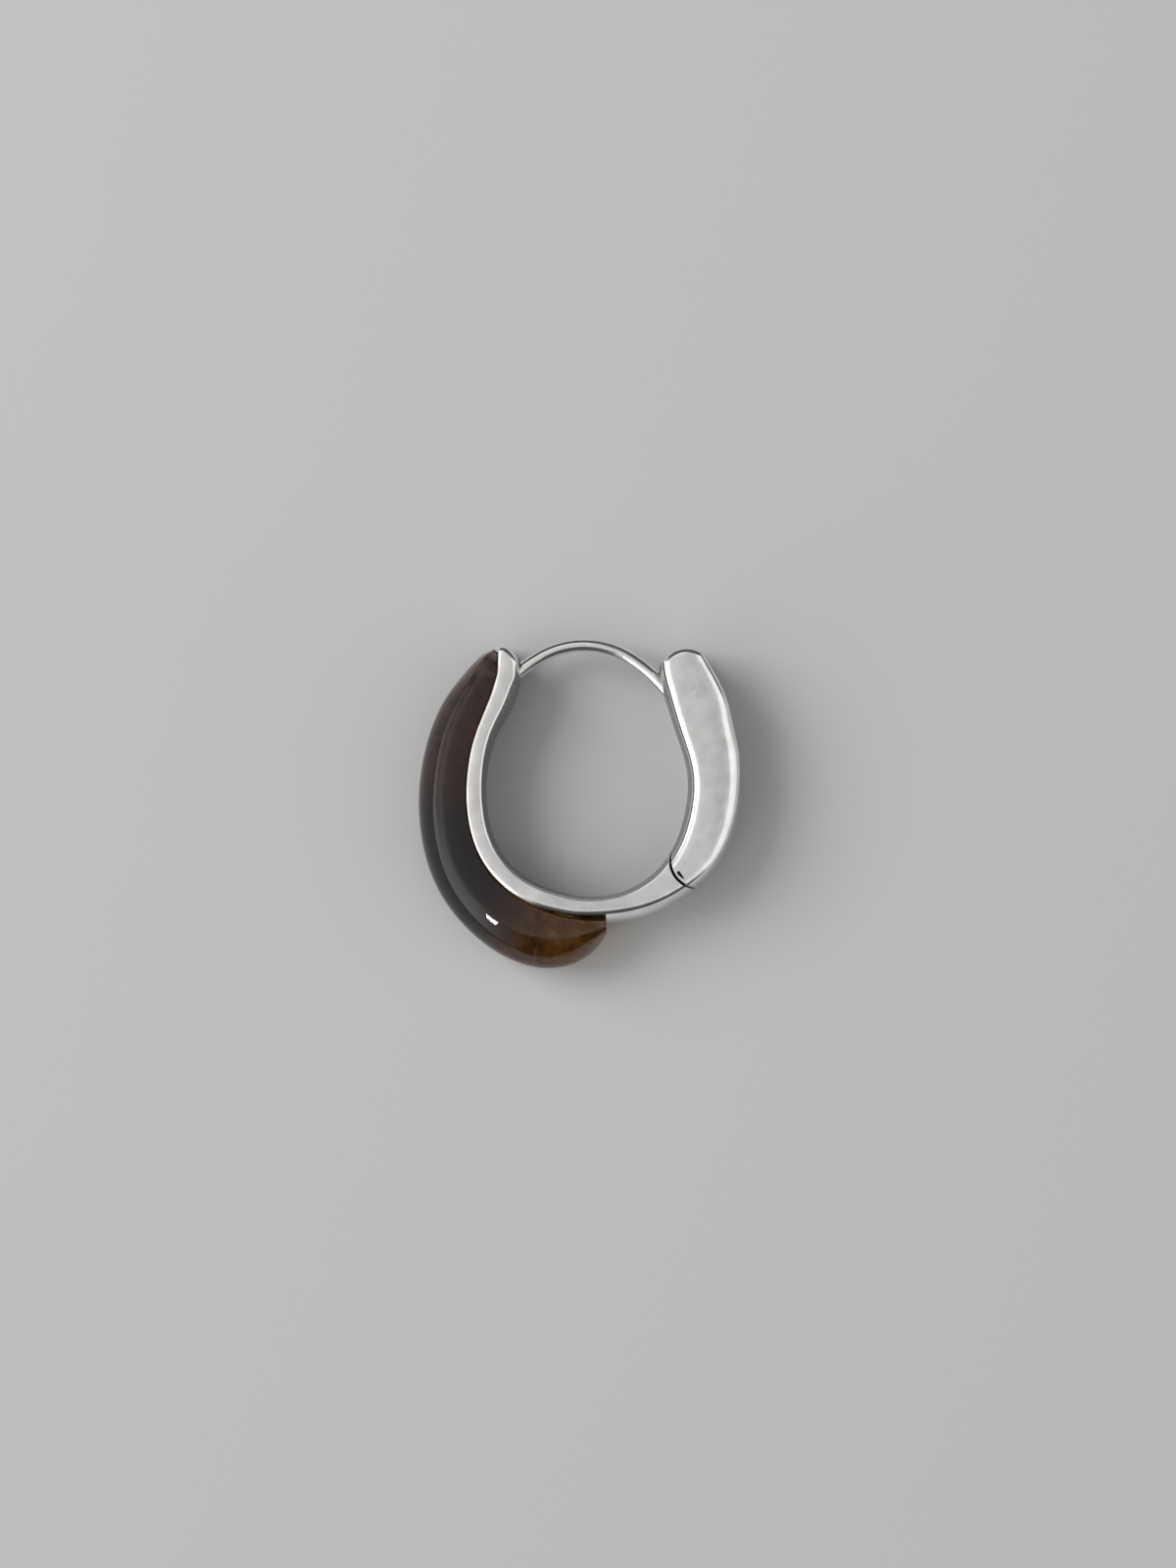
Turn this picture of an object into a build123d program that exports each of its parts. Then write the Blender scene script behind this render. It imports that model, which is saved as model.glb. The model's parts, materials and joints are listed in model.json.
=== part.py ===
from build123d import *
import os
from collections import namedtuple
from math import atan, atan2, copysign, cos, degrees, pi, radians, sin, sqrt, tan

# A hinged hoop earring that lies on its side, in millimetres.
# The hoop's own axis is Z, the resting face is at Z 0, and the ear wire's arch is towards +Y.
# The fixed hoop is on the -X side with its stone, and the hinged arm is on the +X side.

# Band and opening
band_width = 4.6
bore_width = 12.25
bore_length = 13.4
rail_thickness = 1.25
arm_thickness = 3.3
inner_bulge = 0.17
edge_radius = 0.12
flat_cut = 0.025

# Stone
stone_thickness = 3.36
stone_gap = 0.04
stone_crown = 0.24
stone_root = 0.86
stone_end = 1.15

# Ear wire and its catch
wire_radius = 0.4
wire_tip_round = 0.3
catch_gap = 0.11
catch_end_gap = 0.2

# Hinge
hinge_depth = 1.6
knuckle_radius = 1.6
seam_gap = 0.17
tongue_radius = 1.02
tongue_width = 1.7
tongue_side_gap = 0.06
neck_width = 1.5
neck_direction = 218.0
slot_gap = 0.1
open_angle = 45.0
swing_margin = 4.0
pin_radius = 0.4
pin_fit_gap = 0.015
pin_running_gap = 0.03
pin_cap = 0.62

# Casting pit beside the hinge seam, measured from the pin
pit_radius = 0.11
pit_reach = 1.39
pit_direction = 213.0
pit_depth = 0.3

# Room around the part for cutting tools
far = 40.0

# Rounded free ends of the band, seen from above
# thickness: the band's named thickness there
# across, up: middle of the end's curve, as shares of half the bore's width and half its length
# direction: where the end points, in degrees
# half_width, length: the curve's size beside and past its middle, as shares of the thickness
# squareness: 2 is an ellipse, and more has fuller corners
# right_spread, left_spread: how far the sides spread behind the curve, in degrees
# rim: radius of the rim, as a share of the thickness
# below: the part of the band that the curve leaves alone, as a share of half the bore's length
End = namedtuple(
    "End",
    "thickness across up direction half_width length squareness right_spread left_spread rim below",
)
arm_end = End(arm_thickness, 0.973, 1.031, 92, 0.497, 0.497, 2.0, 38, 15, 0.152, 0.73)
rail_end = End(rail_thickness, -0.861, 1.114, 40, 0.744, 0.888, 3.0, 55, 4, 0.36, 0.896)
end_points = 11
end_clearance = 0.005

# One row for each section across the band, from the catch end round to the arm's free end.
# uses: r fixed rail, s stone, a hinged arm, h the row at the hinge
# across, up: inner wall's middle, as shares of half the bore's width and half its length
# facing: direction in which the section runs outwards, in degrees
# rail, arm, stone: thickness, as shares of the three named thicknesses
# width: share of the band's width
# bulge: share of the inner bulge
# shoulder, crown: corner radius and rise of the outer face, as shares of the metal's thickness
# dome: corner radius of the stone's outer face, as a share of the stone's thickness
Row = namedtuple("Row", "uses across up facing rail arm stone width bulge shoulder crown dome")

rows = [
    Row("r", -0.588, 1.209, 138, 1.56, 0, 0, 1.00, 0.9, 0.14, 0.05, 0),
    Row("r", -0.660, 1.125, 141, 1.34, 0, 0, 1.00, 1.2, 0.13, 0.05, 0),
    Row("r", -0.664, 0.990, 145, 1.37, 0, 0, 1.00, 1.8, 0.12, 0.05, 0),
    Row("s", -0.662, 1.050, 141, 1.41, 0, 0.14, 0.50, 1.5, 0.12, 0.05, 0.30),
    Row("s", -0.664, 0.990, 145, 1.37, 0, 0.30, 0.93, 1.8, 0.12, 0.05, 0.30),
    Row("rs", -0.672, 0.905, 149, 1.32, 0, 0.46, 1.00, 2.6, 0.12, 0.05, 0.30),
    Row("rs", -0.738, 0.745, 153, 1.23, 0, 0.63, 1.00, 2.7, 0.12, 0.05, 0.30),
    Row("rs", -0.865, 0.534, 157, 1.05, 0, 0.76, 1.00, 2.2, 0.12, 0.05, 0.30),
    Row("rs", -0.943, 0.360, 163, 0.98, 0, 0.80, 1.00, 1.7, 0.12, 0.05, 0.30),
    Row("rs", -0.988, 0.165, 172, 0.95, 0, 0.835, 1.00, 1.3, 0.12, 0.05, 0.30),
    Row("rs", -1.003, -0.036, 182, 0.95, 0, 0.865, 1.00, 1.0, 0.12, 0.05, 0.30),
    Row("rs", -0.962, -0.330, 196, 0.98, 0, 0.905, 1.00, 1.0, 0.13, 0.05, 0.30),
    Row("rs", -0.845, -0.582, 213, 1.03, 0, 0.95, 1.00, 0.9, 0.18, 0.06, 0.30),
    Row("rs", -0.667, -0.763, 229, 1.08, 0, 0.985, 1.00, 0.6, 0.24, 0.08, 0.32),
    Row("rs", -0.457, -0.881, 244, 1.14, 0, 1.01, 1.00, 0.3, 0.29, 0.12, 0.36),
    Row("rs", -0.215, -0.953, 258, 1.19, 0, 0.93, 0.97, 0.2, 0.30, 0.19, 0.44),
    Row("s", -0.095, -0.983, 270, 1.15, 0, 0.74, 0.95, 1.0, 0.28, 0.25, 0.50),
    Row("s", -0.030, -0.990, 282, 1.18, 0, 0.51, 0.93, 1.0, 0.28, 0.28, 0.54),
    Row("s", 0.010, -0.994, 294, 1.25, 0, 0.29, 0.91, 1.0, 0.28, 0.30, 0.56),
    Row("s", 0.048, -0.997, 305, 1.37, 0, 0.10, 0.88, 1.0, 0.28, 0.32, 0.56),
    Row("r", 0.050, -0.985, 272, 1.22, 0, 0, 0.94, 0.2, 0.27, 0.29, 0),
    Row("r", 0.301, -0.954, 288, 1.36, 0, 0, 0.92, 0.2, 0.24, 0.31, 0),
    Row("ra", 0.515, -0.865, 302, 1.56, 0, 0, 0.92, 0.3, 0.19, 0.25, 0),
    Row("ra", 0.710, -0.722, 313, 1.12, 0.26, 0, 0.93, 0.5, 0.16, 0.18, 0),
    Row("rah", 0.874, -0.494, 324, 0.32, 0.735, 0, 0.95, 0.8, 0.14, 0.12, 0),
    Row("ra", 0.955, -0.270, 342, 0, 0.955, 0, 0.98, 1.0, 0.16, 0.09, 0),
    Row("ra", 0.999, 0.000, 359, 0, 0.985, 0, 1.00, 1.0, 0.18, 0.07, 0),
    Row("a", 0.970, 0.250, 371, 0, 1.03, 0, 1.00, 1.0, 0.18, 0.05, 0),
    Row("a", 0.888, 0.485, 376, 0, 1.09, 0, 1.00, 1.0, 0.16, 0.05, 0),
    Row("a", 0.812, 0.700, 375, 0, 1.10, 0, 1.00, 1.1, 0.13, 0.04, 0),
    Row("a", 0.752, 0.880, 372, 0, 1.05, 0, 1.00, 1.2, 0.12, 0.04, 0),
    Row("a", 0.712, 1.020, 367, 0, 0.998, 0, 1.00, 1.2, 0.12, 0.04, 0),
    Row("a", 0.698, 1.125, 364, 0, 0.918, 0, 1.00, 1.2, 0.12, 0.04, 0),
    Row("a", 0.698, 1.320, 360, 0, 0.700, 0, 1.00, 1.2, 0.12, 0.04, 0),
]

# The ear wire's centre line, as shares of half the bore's width and half its length
WirePoint = namedtuple("WirePoint", "across up")
wire_tip = WirePoint(-0.768, 1.001)
wire_left = WirePoint(-0.486, 1.188)
wire_top = WirePoint(-0.029, 1.305)
wire_right = WirePoint(0.437, 1.179)
wire_root = WirePoint(0.875, 0.780)

middle = band_width / 2


def plan_point(spot, height=middle):
    """A table's across and up shares as a place, with the bore's centre at X 0, Y 0."""
    return Vector(spot.across * bore_width / 2, spot.up * bore_length / 2, height)


def outward(row):
    return Vector(cos(radians(row.facing)), sin(radians(row.facing)), 0)


def at(row, out, rise):
    """The place that lies out from a row's inner wall and rise above the middle plane."""
    return plan_point(row) + outward(row) * out + Vector(0, 0, rise)


def metal_thickness(row):
    return row.rail * rail_thickness + row.arm * arm_thickness


def crown_radius(half, shoulder, crown):
    """Radius of the outer arc that meets both shoulder arcs without a corner."""
    flat = half - shoulder
    return (crown * crown + 2 * crown * shoulder + flat * flat) / (2 * crown)


def dome(row, top, half, shoulder, crown):
    """The outer side of a section: a shoulder arc, the crown's arc and a shoulder arc."""
    turn = crown_radius(half, shoulder, crown)
    start = top - crown - shoulder
    join = degrees(atan2(half - shoulder, turn - crown - shoulder))
    between = (90 + join) / 2

    def corner(angle, side):
        out = start + shoulder * cos(radians(angle))
        rise = half - shoulder + shoulder * sin(radians(angle))
        return at(row, out, side * rise)

    up, low = corner(join, 1), corner(join, -1)
    return [
        ThreePointArc(at(row, start, half), corner(between, 1), up),
        ThreePointArc(up, at(row, top, 0), low),
        ThreePointArc(low, corner(between, -1), at(row, start, -half)),
    ]


def metal_section(row):
    """Closed outline of the metal at a row: bulged inner wall, flat sides and domed outside."""
    thick = metal_thickness(row)
    half = row.width * band_width / 2 + flat_cut
    recess = row.bulge * inner_bulge
    corner = edge_radius * (1 - sqrt(0.5))
    side = recess + edge_radius
    outside = dome(row, thick, half, row.shoulder * thick, row.crown * thick)
    wall = half - edge_radius
    return Wire(
        [
            ThreePointArc(at(row, recess, -wall), at(row, 0, 0), at(row, recess, wall)),
            ThreePointArc(
                at(row, recess, wall),
                at(row, recess + corner, half - corner),
                at(row, side, half),
            ),
            Line(at(row, side, half), outside[0] @ 0),
            *outside,
            Line(outside[-1] @ 1, at(row, side, -half)),
            ThreePointArc(
                at(row, side, -half),
                at(row, recess + corner, corner - half),
                at(row, recess, -wall),
            ),
        ]
    )


def stone_section(row):
    """Closed outline of the uncut stone at a row: it starts inside the rail."""
    root = stone_root * metal_thickness(row)
    thick = row.stone * stone_thickness
    half = row.width * band_width / 2 + flat_cut
    top = metal_thickness(row) + thick
    outside = dome(row, top, half, row.dome * thick, stone_crown * thick)
    return Wire(
        [
            Line(at(row, root, -half), at(row, root, half)),
            Line(at(row, root, half), outside[0] @ 0),
            *outside,
            Line(outside[-1] @ 1, at(row, root, -half)),
        ]
    )


def seat_section(row):
    """The rail's crown at a row, raised by the stone's gap and wider than the band."""
    thick = metal_thickness(row)
    half = row.width * band_width / 2 + flat_cut
    turn = crown_radius(half, row.shoulder * thick, row.crown * thick) + stone_gap
    reach = half + stone_gap
    top = thick + stone_gap
    edge = top - turn + sqrt(turn * turn - reach * reach)
    return Wire(
        [
            Line(at(row, -rail_thickness, -reach), at(row, -rail_thickness, reach)),
            Line(at(row, -rail_thickness, reach), at(row, edge, reach)),
            ThreePointArc(at(row, edge, reach), at(row, top, 0), at(row, edge, -reach)),
            Line(at(row, edge, -reach), at(row, -rail_thickness, -reach)),
        ]
    )


def loft_rows(use, section):
    return loft([Face(section(row)) for row in rows if use in row.uses])


def tall_prism(outline, low, high):
    return Pos(0, 0, low) * extrude(outline, high - low)


def hinge_row():
    return [row for row in rows if "h" in row.uses][0]


def pin_place():
    return at(hinge_row(), hinge_depth, 0)


def around_pin(outline):
    """Moves a plan outline from the origin to the hinge pin."""
    place = pin_place()
    return Pos(place.X, place.Y, 0) * outline


def bar(direction, width):
    """A plan strip from the pin outwards in a direction given in degrees."""
    return Rot(0, 0, direction) * Pos(far / 4, 0) * Rectangle(far / 2, width)


def arm_side(inward):
    """The plan on the arm's side of the line across the band at the pin, as far in as stated."""
    turn = Rot(0, 0, hinge_row().facing)
    return around_pin(turn * Pos((far - inward) / 2, far / 4) * Rectangle(far + inward, far / 2))


def end_curve(end):
    """Points along a free end's curve from its right side to its left, at the origin."""
    half_width, length = end.half_width * end.thickness, end.length * end.thickness
    power = 2 / end.squareness
    right, left = [
        atan((length / half_width * tan(radians(spread))) ** (1 / (2 - power)))
        for spread in (end.right_spread, end.left_spread)
    ]
    points = []
    for i in range(end_points):
        turn = right + (pi - left - right) * i / (end_points - 1)
        across = half_width * copysign(abs(cos(turn)) ** power, cos(turn))
        points.append((across, length * sin(turn) ** power))
    return points


def end_tool(end):
    """All that a rounded free end leaves of the band."""
    points = end_curve(end)
    right_way = Vector(sin(radians(end.right_spread)), -cos(radians(end.right_spread)))
    left_way = Vector(-sin(radians(end.left_spread)), -cos(radians(end.left_spread)))
    right = Vector(*points[0]) + right_way * far
    left = Vector(*points[-1]) + left_way * far
    sides = [
        Line(right, points[0]),
        Spline(points, tangents=[-right_way, left_way]),
        Line(points[-1], left),
        Line(left, right),
    ]
    place = plan_point(end, 0)
    plan = Pos(place.X, place.Y, 0) * Rot(0, 0, end.direction - 90) * Face(Wire(sides))
    block = tall_prism(plan, -end_clearance, band_width + end_clearance)
    rims = block.edges().group_by(Axis.Z)[0] + block.edges().group_by(Axis.Z)[-1]
    rounded = fillet(rims, end.rim * end.thickness)
    rest = Pos(0, end.below * bore_length / 2 - far) * Rectangle(2 * far, 2 * far)
    return rounded + tall_prism(rest, -far, far)


def flat_sided(band):
    """A band cut off at its two flat sides."""
    sheet = Rectangle(2 * far, 2 * far)
    return band - tall_prism(sheet, band_width, far) - tall_prism(sheet, -far, 0)


def wire_route():
    arch = ThreePointArc(plan_point(wire_left), plan_point(wire_top), plan_point(wire_right))
    left_leg = TangentArc(plan_point(wire_left), plan_point(wire_tip), tangent=-(arch % 0))
    right_leg = TangentArc(plan_point(wire_right), plan_point(wire_root), tangent=arch % 1)
    return left_leg, arch, right_leg


def tube(edge, radius):
    ring = Plane(origin=edge @ 0, z_dir=edge % 0) * Circle(radius)
    return sweep(ring, path=Wire([edge]) if isinstance(edge, Edge) else edge)


def catch_hole():
    """A blind hole that follows the ear wire's end, with room round it and past its tip."""
    leg = wire_route()[0]
    end = leg @ 1
    deeper = Line(end, end + (leg % 1) * catch_end_gap)
    return tube(leg, wire_radius + catch_gap) + tube(deeper, wire_radius + catch_gap)


def tongue():
    """The middle knuckle: a rounded eye about the pin, with a neck to the fixed hoop."""
    neck = bar(neck_direction, neck_width) & Circle(knuckle_radius + 3 * seam_gap)
    plan = around_pin(Circle(tongue_radius) + neck)
    return tall_prism(plan, middle - tongue_width / 2, middle + tongue_width / 2)


def tongue_slot():
    """The space that the tongue and its neck need in the arm, over the whole swing."""
    width = neck_width + 2 * slot_gap
    last = neck_direction + open_angle + swing_margin
    start, end = radians(neck_direction), radians(last)
    sector = Polygon(
        (0, 0),
        (far / 4 * cos(start), far / 4 * sin(start)),
        (far / 4 * cos(end), far / 4 * sin(end)),
        align=None,
    )
    eye_width = 2 * (tongue_radius + slot_gap)
    mouth = bar(hinge_row().facing, eye_width)
    swept = bar(neck_direction, width) + bar(last, width) + sector + mouth
    plan = around_pin(Circle(eye_width / 2) + (swept & Circle(2 * knuckle_radius)))
    half = tongue_width / 2 + tongue_side_gap
    return tall_prism(plan, middle - half, middle + half)


def pin_solid(grow):
    half = hinge_row().width * band_width / 2 - pin_cap + grow
    return tall_prism(around_pin(Circle(pin_radius + grow)), middle - half, middle + half)


def casting_pit():
    spot = Rot(0, 0, pit_direction) * Pos(pit_reach, 0) * Circle(pit_radius)
    top = middle + hinge_row().width * band_width / 2
    return tall_prism(around_pin(spot), top - pit_depth, far)


def make_fixed_hoop():
    rail = flat_sided(loft_rows("r", metal_section)) & end_tool(rail_end)
    socket = around_pin(Circle(knuckle_radius + seam_gap))
    rail -= tall_prism(arm_side(bore_width / 2) + socket, -far, far)
    rail += tongue()
    rail -= tall_prism(around_pin(Circle(pin_radius + pin_running_gap)), 0, band_width)
    return rail - catch_hole()


def make_stone():
    blank = flat_sided(loft_rows("s", stone_section))
    end = Pos(stone_end - far / 2, 0) * Rectangle(far, far)
    return (blank - loft_rows("r", seat_section)) & tall_prism(end, -far, far)


def make_ear_wire():
    route = Wire(wire_route())
    wire = tube(route, wire_radius)
    tip = wire.edges().filter_by(GeomType.CIRCLE).sort_by(Axis.X)[0]
    return fillet(tip, wire_tip_round)


def make_hinged_arm():
    arm = flat_sided(loft_rows("a", metal_section)) & end_tool(arm_end)
    knuckle = around_pin(Circle(knuckle_radius))
    arm &= tall_prism(arm_side(far) + knuckle, -far, far)
    arm -= tongue_slot()
    arm -= pin_solid(pin_fit_gap)
    arm -= casting_pit()
    return arm + make_ear_wire()


def middle_of_outline(parts):
    """The place to move to the origin: the middle of the plan outline, at the resting face."""
    box = Compound(children=list(parts)).bounding_box()
    return Vector((box.min.X + box.max.X) / 2, (box.min.Y + box.max.Y) / 2, 0)


def main():
    parts = {
        "fixed_hoop": make_fixed_hoop(),
        "stone": make_stone(),
        "hinged_arm": make_hinged_arm(),
        "hinge_pin": pin_solid(0),
    }
    origin = middle_of_outline([part.solids()[0] for part in parts.values()])
    os.makedirs("parts", exist_ok=True)
    for name, part in parts.items():
        export_step(Pos(-origin.X, -origin.Y, 0) * part, "parts/" + name + ".step")
    pin = pin_place() - origin
    print("hinge pin at", round(pin.X, 4), round(pin.Y, 4))


main()
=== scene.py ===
import json
from collections import namedtuple
from math import asin, atan, atan2, ceil, cos, degrees, pi, radians, sin, tan

import bpy
import numpy as np
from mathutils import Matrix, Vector


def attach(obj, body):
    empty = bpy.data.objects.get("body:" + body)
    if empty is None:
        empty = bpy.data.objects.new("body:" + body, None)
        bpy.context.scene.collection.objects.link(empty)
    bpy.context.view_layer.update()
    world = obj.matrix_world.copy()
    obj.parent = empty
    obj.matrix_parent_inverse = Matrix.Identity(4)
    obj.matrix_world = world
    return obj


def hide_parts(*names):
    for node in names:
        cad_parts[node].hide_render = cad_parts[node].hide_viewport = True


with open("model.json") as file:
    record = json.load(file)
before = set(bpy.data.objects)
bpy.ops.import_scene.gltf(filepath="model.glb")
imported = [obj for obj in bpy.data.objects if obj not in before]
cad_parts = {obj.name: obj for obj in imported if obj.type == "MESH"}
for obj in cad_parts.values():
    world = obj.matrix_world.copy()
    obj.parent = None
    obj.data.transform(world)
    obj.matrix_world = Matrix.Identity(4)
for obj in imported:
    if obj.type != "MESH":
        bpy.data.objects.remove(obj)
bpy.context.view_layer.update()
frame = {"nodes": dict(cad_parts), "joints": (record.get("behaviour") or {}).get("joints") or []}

# A hinged hoop earring lying on its side. Shapes are worked out in millimetres, with the bore's
# centre at X 0, Y 0, and are placed in the frame's metres by the function make_mesh.
MM = 0.001

# Band and opening
band_width = 4.6
bore_width = 12.25
bore_length = 13.4
rail_thickness = 1.25
arm_thickness = 3.29
inner_bulge = 0.17

# Stone
stone_thickness = 3.355
stone_gap = 0.04
stone_crown = 0.24
stone_root = 0.86
stone_end = 1.15

# Ear wire and its catch
wire_radius = 0.399
wire_tip_round = 0.3
catch_gap = 0.11
catch_end_gap = 0.2

# Hinge
hinge_depth = 1.6
knuckle_radius = 1.6
seam_gap = 0.17
tongue_radius = 1.02
tongue_width = 1.7
tongue_side_gap = 0.06
neck_width = 1.5
neck_direction = 218.0
slot_gap = 0.1
open_angle = 45.0
swing_margin = 4.0
pin_radius = 0.4
pin_fit_gap = 0.015
pin_running_gap = 0.03
pin_cap = 0.62

# Casting pit with a curved tail beside the hinge seam, measured from the pin
pit_radius = 0.11
pit_reach = 1.39
pit_direction = 213.0
pit_tail_radius = 0.05
pit_tail_sweep = 17.0
pit_depth = 0.3

# The worn spot on the arm's near face, the chip in the stone's edge and the middles of the stone's
# two thinner ends, which are tinted lighter with painted light, in the frame's millimetres
worn_spot = (7.26, 6.96)
worn_radius = 0.7
chip_spot = (-6.98, 2.98)
chip_direction = 112.0
chip_length = 0.6
chip_width = 0.26
chip_depth = 0.16
# Painted light: the stone is tinted lighter round these two spots, where it is thin
stone_tip_glow = (-6.3, 5.0, 2.3)
stone_tip_reach = 6.8
stone_foot_glow = (-0.9, -8.2, 2.3)
stone_foot_reach = 6.0

# Fine rounding that the solid model doesn't have
# widest_edge: limit of the inner edge's radius, as a share of the flat side's width
# side_tilt: how far the flat sides lean at their edges, in degrees
rail_edge = 0.12
arm_edge = 0.45
widest_edge = 0.6
side_tilt = 4.0
stone_tip_round = 0.12

# How finely the meshes are cut: the step along the band, and the points on each stretch
mesh_step = 0.11
inner_wall_points = 22
inner_edge_points = 9
metal_side_points = 18
stone_root_points = 16
stone_side_points = 26
shoulder_points = 14
crown_points = 22
seat_points = 24
end_curve_points = 72
end_rim_points = 12
tip_rings = 8
wire_points = 48
wire_leg_points = (40, 90, 60)
hinge_points = 160
slot_points = 360
slot_steps = 8
pit_points = 40
pit_steps = 6
chip_points = 12
sharp_angle = 32

# far: reach of the tools that cut right through the band
# tiny: keeps a divisor away from zero
far = 40.0
tiny = 1e-6
middle = band_width / 2

# Rounded free ends of the band, seen from above
# thickness: the band's named thickness there
# across, up: middle of the end's curve, as shares of half the bore's width and half its length
# direction: where the end points, in degrees
# half_width, length: the curve's size beside and past its middle, as shares of the thickness
# squareness: 2 is an ellipse, and more has fuller corners
# right_spread, left_spread: how far the sides spread behind the curve, in degrees
# rim: radius of the rim, as a share of the thickness
# below: the part of the band that the curve leaves alone, as a share of half the bore's length
End = namedtuple(
    "End",
    "thickness across up direction half_width length squareness right_spread left_spread rim below",
)
arm_end = End(arm_thickness, 0.973, 1.031, 92, 0.497, 0.497, 2.0, 38, 15, 0.152, 0.73)
rail_end = End(rail_thickness, -0.861, 1.114, 40, 0.744, 0.888, 3.0, 55, 4, 0.36, 0.896)
end_clearance = 0.005

# One row for each section across the band, from the catch end round to the arm's free end.
# uses: r fixed rail, s stone, a hinged arm, h the row at the hinge
# across, up: inner wall's middle, as shares of half the bore's width and half its length
# facing: direction in which the section runs outwards, in degrees
# rail, arm, stone: thickness, as shares of the three named thicknesses
# width: share of the band's width
# bulge: share of the inner bulge
# shoulder, crown: corner radius and rise of the outer face, as shares of the metal's thickness
# dome: corner radius of the stone's outer face, as a share of the stone's thickness
Row = namedtuple("Row", "uses across up facing rail arm stone width bulge shoulder crown dome")

rows = [
    Row("r", -0.588, 1.209, 138, 1.56, 0, 0, 1.00, 0.9, 0.14, 0.05, 0),
    Row("r", -0.660, 1.125, 141, 1.34, 0, 0, 1.00, 1.2, 0.13, 0.05, 0),
    Row("r", -0.664, 0.990, 145, 1.37, 0, 0, 1.00, 1.8, 0.12, 0.05, 0),
    Row("s", -0.662, 1.050, 141, 1.41, 0, 0.14, 0.50, 1.5, 0.12, 0.05, 0.30),
    Row("s", -0.664, 0.990, 145, 1.37, 0, 0.30, 0.93, 1.8, 0.12, 0.05, 0.30),
    Row("rs", -0.672, 0.905, 149, 1.32, 0, 0.46, 1.00, 2.6, 0.12, 0.05, 0.30),
    Row("rs", -0.738, 0.745, 153, 1.23, 0, 0.63, 1.00, 2.7, 0.12, 0.05, 0.30),
    Row("rs", -0.865, 0.534, 157, 1.05, 0, 0.76, 1.00, 2.2, 0.12, 0.05, 0.30),
    Row("rs", -0.943, 0.360, 163, 0.98, 0, 0.80, 1.00, 1.7, 0.12, 0.05, 0.30),
    Row("rs", -0.988, 0.165, 172, 0.95, 0, 0.835, 1.00, 1.3, 0.12, 0.05, 0.30),
    Row("rs", -1.003, -0.036, 182, 0.95, 0, 0.865, 1.00, 1.0, 0.12, 0.05, 0.30),
    Row("rs", -0.962, -0.330, 196, 0.98, 0, 0.905, 1.00, 1.0, 0.13, 0.05, 0.30),
    Row("rs", -0.845, -0.582, 213, 1.03, 0, 0.95, 1.00, 0.9, 0.18, 0.06, 0.30),
    Row("rs", -0.667, -0.763, 229, 1.08, 0, 0.985, 1.00, 0.6, 0.24, 0.08, 0.32),
    Row("rs", -0.457, -0.881, 244, 1.14, 0, 1.01, 1.00, 0.3, 0.29, 0.12, 0.36),
    Row("rs", -0.215, -0.953, 258, 1.19, 0, 0.93, 0.97, 0.2, 0.30, 0.19, 0.44),
    Row("s", -0.095, -0.983, 270, 1.15, 0, 0.74, 0.95, 1.0, 0.28, 0.25, 0.50),
    Row("s", -0.030, -0.990, 282, 1.18, 0, 0.51, 0.93, 1.0, 0.28, 0.28, 0.54),
    Row("s", 0.010, -0.994, 294, 1.25, 0, 0.29, 0.91, 1.0, 0.28, 0.30, 0.56),
    Row("s", 0.048, -0.997, 305, 1.37, 0, 0.10, 0.88, 1.0, 0.28, 0.32, 0.56),
    Row("r", 0.050, -0.985, 272, 1.22, 0, 0, 0.94, 0.2, 0.27, 0.29, 0),
    Row("r", 0.301, -0.954, 288, 1.36, 0, 0, 0.92, 0.2, 0.24, 0.31, 0),
    Row("ra", 0.515, -0.865, 302, 1.56, 0, 0, 0.92, 0.3, 0.19, 0.25, 0),
    Row("ra", 0.710, -0.722, 313, 1.12, 0.26, 0, 0.93, 0.5, 0.16, 0.18, 0),
    Row("rah", 0.874, -0.494, 324, 0.32, 0.735, 0, 0.95, 0.8, 0.14, 0.12, 0),
    Row("ra", 0.955, -0.270, 342, 0, 0.955, 0, 0.98, 1.0, 0.16, 0.09, 0),
    Row("ra", 0.999, 0.000, 359, 0, 0.985, 0, 1.00, 1.0, 0.18, 0.07, 0),
    Row("a", 0.970, 0.250, 371, 0, 1.03, 0, 1.00, 1.0, 0.18, 0.05, 0),
    Row("a", 0.888, 0.485, 376, 0, 1.09, 0, 1.00, 1.0, 0.16, 0.05, 0),
    Row("a", 0.812, 0.700, 375, 0, 1.10, 0, 1.00, 1.1, 0.13, 0.04, 0),
    Row("a", 0.752, 0.880, 372, 0, 1.05, 0, 1.00, 1.2, 0.12, 0.04, 0),
    Row("a", 0.712, 1.020, 367, 0, 0.998, 0, 1.00, 1.2, 0.12, 0.04, 0),
    Row("a", 0.698, 1.125, 364, 0, 0.918, 0, 1.00, 1.2, 0.12, 0.04, 0),
    Row("a", 0.698, 1.320, 360, 0, 0.700, 0, 1.00, 1.2, 0.12, 0.04, 0),
]

# The ear wire's centre line, as shares of half the bore's width and half its length
WirePoint = namedtuple("WirePoint", "across up")
wire_tip = WirePoint(-0.768, 1.001)
wire_left = WirePoint(-0.486, 1.188)
wire_top = WirePoint(-0.029, 1.305)
wire_right = WirePoint(0.437, 1.179)
wire_root = WirePoint(0.875, 0.780)


def plan_point(spot):
    return np.array([spot.across * bore_width / 2, spot.up * bore_length / 2])


hinge_row = [row for row in rows if "h" in row.uses][0]
pin_spot = plan_point(hinge_row) + hinge_depth * np.array(
    [cos(radians(hinge_row.facing)), sin(radians(hinge_row.facing))]
)
hinge_place = frame["joints"][0]["pos_m"]
frame_shift = np.array([hinge_place[0] / MM - pin_spot[0], hinge_place[1] / MM - pin_spot[1], 0])


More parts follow.
